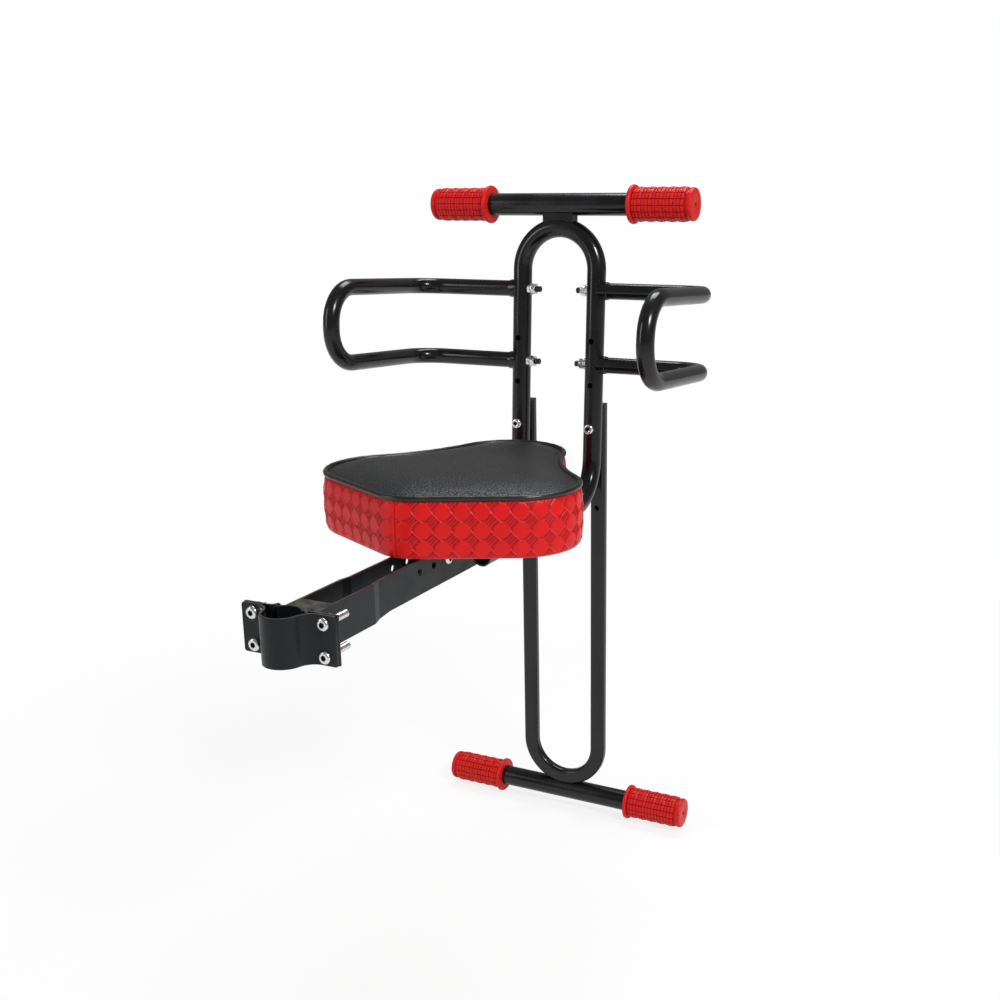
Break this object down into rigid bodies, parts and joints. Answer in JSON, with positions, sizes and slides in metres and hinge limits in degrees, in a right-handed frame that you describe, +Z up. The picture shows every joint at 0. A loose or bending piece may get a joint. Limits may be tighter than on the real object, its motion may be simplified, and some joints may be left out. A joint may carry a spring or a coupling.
{
  "type": "child bicycle seat",
  "caption": "Child seat for a bicycle seat post: pear-shaped padded saddle on a bent tube frame with handle bar, side rails, foot bar and a bolted clamp.",
  "frame": {"origin": "axis of the post clamp at its mid height", "axes": "+Z up along the post, +Y from the post clamp towards the tube frame, +X to the right seen from the clamp"},
  "size_m": [0.341, 0.5164, 0.6836],
  "materials": {
    "frame_paint": "gloss black enamel",
    "clamp_paint": "satin dark grey coating",
    "zinc": "bright zinc plating",
    "stud_dark": "dark oxide on the threads",
    "grip_red": "moulded soft plastic with a light sheen",
    "cap_black": "moulded matt",
    "seat_black": "fine-grained leatherette with a sheen",
    "seat_red": "embossed leatherette",
    "piping_black": "smooth gloss piping",
    "board_wood": "raw plywood",
    "foam": "open-cell foam block"
  },
  "bodies": {
    "root": {"upper_hoop": "frame_paint", "neck": "frame_paint", "handle_bar": "frame_paint", "lower_hoop": "frame_paint", "hoop_plugs": "cap_black", "foot_bar": "frame_paint", "rail_left": "frame_paint", "rail_right": "frame_paint", "rail_plugs": "zinc", "rail_studs": "stud_dark", "rail_washers": "zinc", "rail_nuts": "zinc", "grip_handle_left": "grip_red", "grip_handle_right": "grip_red", "grip_foot_left": "grip_red", "grip_foot_right": "grip_red", "leg_bolts": "zinc", "leg_inserts": "zinc", "clamp_front": "clamp_paint", "clamp_cradle": "clamp_paint", "clamp_bolts": "zinc", "clamp_nuts": "zinc", "arm_left": "clamp_paint", "arm_right": "clamp_paint", "arm_bolts": "zinc", "arm_nuts": "zinc", "centre_tube": "frame_paint", "seat_plate": "frame_paint", "seat_screws": "zinc", "seat_board": "board_wood", "seat_foam": "foam", "seat_band": "seat_red", "seat_piping": "piping_black", "seat_top": "seat_black"}
  },
  "joints": []
}
